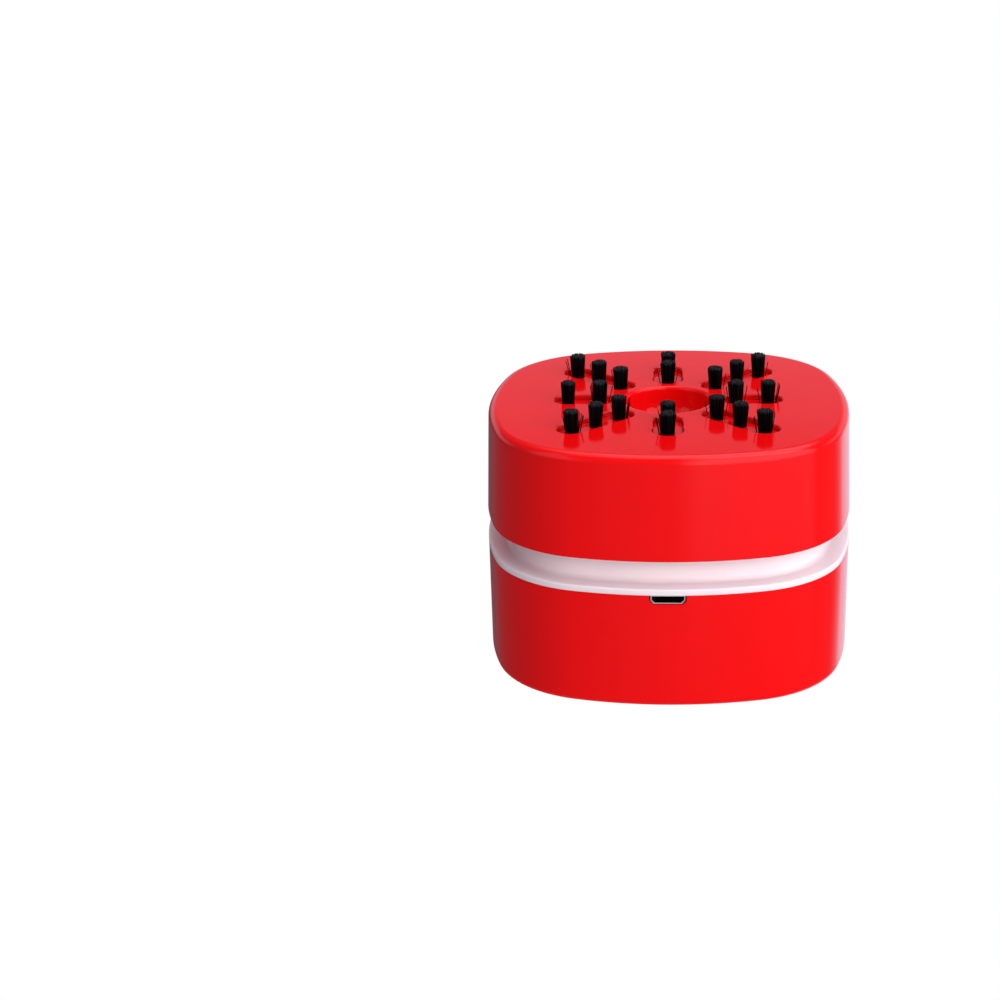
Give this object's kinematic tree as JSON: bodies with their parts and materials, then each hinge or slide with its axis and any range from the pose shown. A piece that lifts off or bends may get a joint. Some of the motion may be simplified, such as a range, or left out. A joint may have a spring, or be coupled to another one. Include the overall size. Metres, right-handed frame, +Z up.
{
  "type": "desktop mini vacuum cleaner",
  "caption": "Palm-sized rounded square desktop vacuum: bristled dust box below, press-down motor housing with a ring air outlet, glossy black top and charging socket.",
  "frame": {"origin": "on the table under the middle, level with the bristle tips", "axes": "+Z up, -Y towards the charging socket, +X to the right of the socket's side"},
  "size_m": [0.085, 0.085, 0.064],
  "materials": {
    "red_plastic": "glossy injection moulding",
    "black_gloss": "mirror-like glossy",
    "black_plastic": "fine matt",
    "white_plastic": "fine matt",
    "milky_plastic": "translucent, softly polished",
    "bristle": "nylon filaments",
    "filter_cloth": "fine mesh",
    "soft_rubber": "matt",
    "motor_steel": "zinc plated",
    "shaft_steel": "ground",
    "port_steel": "nickel plated",
    "screw_steel": "zinc plated",
    "board_green": "solder mask",
    "battery_foil": "foil pouch",
    "led_lens": "clear lens"
  },
  "bodies": {
    "base": {"dust_box": "red_plastic", "brush_plate": "red_plastic", "inlet_duct": "red_plastic", "inner_tufts": "bristle", "middle_tufts": "bristle", "outer_tufts": "bristle", "plate_screws": "screw_steel"},
    "motor_unit": {"motor_carrier": "black_plastic", "seal_gasket": "soft_rubber", "filter_frame": "black_plastic", "filter_mesh": "filter_cloth", "fan_cover": "black_plastic", "cover_screws": "screw_steel", "motor_can": "motor_steel", "motor_cap": "white_plastic", "motor_screws": "screw_steel"},
    "rotor": {"rotor_shaft": "shaft_steel", "impeller": "white_plastic"},
    "upper_housing": {"upper_shell": "red_plastic", "top_panel": "black_gloss", "light_ring": "milky_plastic", "ring_screws": "screw_steel", "circuit_board": "board_green", "board_screws": "screw_steel", "battery": "battery_foil", "usb_port": "port_steel", "usb_tongue": "black_plastic", "charge_led": "led_lens"}
  },
  "joints": [
    {"name": "dust_box_release", "type": "slide", "parent": "base", "child": "motor_unit", "axis": [0, 0, 1], "range_m": [0, 0.06]},
    {"name": "lift_switch", "type": "slide", "parent": "motor_unit", "child": "upper_housing", "axis": [0, 0, 1], "range_m": [-0.006, 0]},
    {"name": "fan_spin", "type": "hinge", "parent": "motor_unit", "child": "rotor", "pos_m": [0, 0, 0.03], "axis": [0, 0, 1], "continuous": true}
  ]
}
